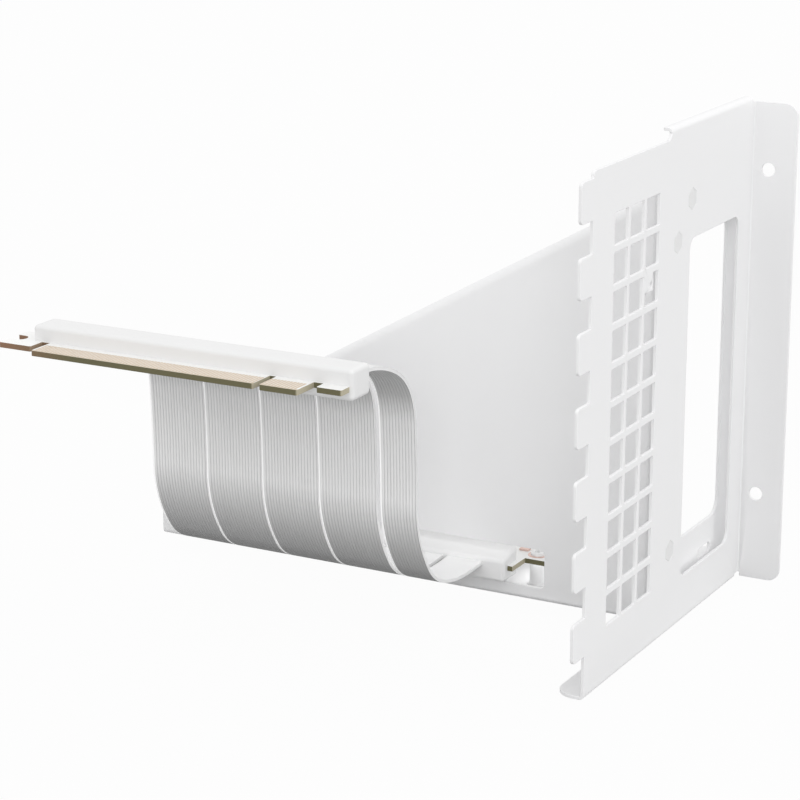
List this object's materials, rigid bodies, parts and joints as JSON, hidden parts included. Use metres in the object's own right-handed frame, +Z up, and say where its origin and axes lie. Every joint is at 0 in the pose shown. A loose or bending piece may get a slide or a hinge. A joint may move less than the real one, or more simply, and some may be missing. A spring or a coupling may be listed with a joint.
{
  "type": "vertical graphics card mount",
  "caption": "Folded white sheet-metal mount that holds a graphics card upright behind a vented rear plate, with a card riser board and a ribbon cable ending in an edge plug.",
  "frame": {"origin": "midway between the two flange screw holes, on the flange's near face", "axes": "+X out of the rear of the case, +Y along the flange screws towards the side the card faces, +Z up"},
  "size_m": [0.1876, 0.1733, 0.1514],
  "materials": {
    "white_paint": "fine white powder coat",
    "screw_paint": "white painted steel",
    "white_board": "white solder mask on glass-fibre board",
    "white_plastic": "white moulded plastic",
    "silver_jacket": "ribbed silver-grey cable jacket",
    "gold_plate": "gold plate on copper"
  },
  "bodies": {
    "root": {"rear_plate": "white_paint", "support_bracket": "white_paint", "plate_spacers": "white_paint", "spacer_screws": "screw_paint", "board_standoffs": "white_paint", "board_screws": "screw_paint", "riser_board": "white_board", "socket_housing": "white_plastic", "cable_block": "white_plastic", "plug_bar": "white_plastic", "plug_board": "white_board", "ribbon_1": "silver_jacket", "ribbon_2": "silver_jacket", "ribbon_3": "silver_jacket", "ribbon_4": "silver_jacket", "ribbon_5": "silver_jacket", "plug_fingers_top": "gold_plate", "plug_fingers_bottom": "gold_plate", "socket_contacts_front": "gold_plate", "socket_contacts_back": "gold_plate"}
  },
  "joints": []
}
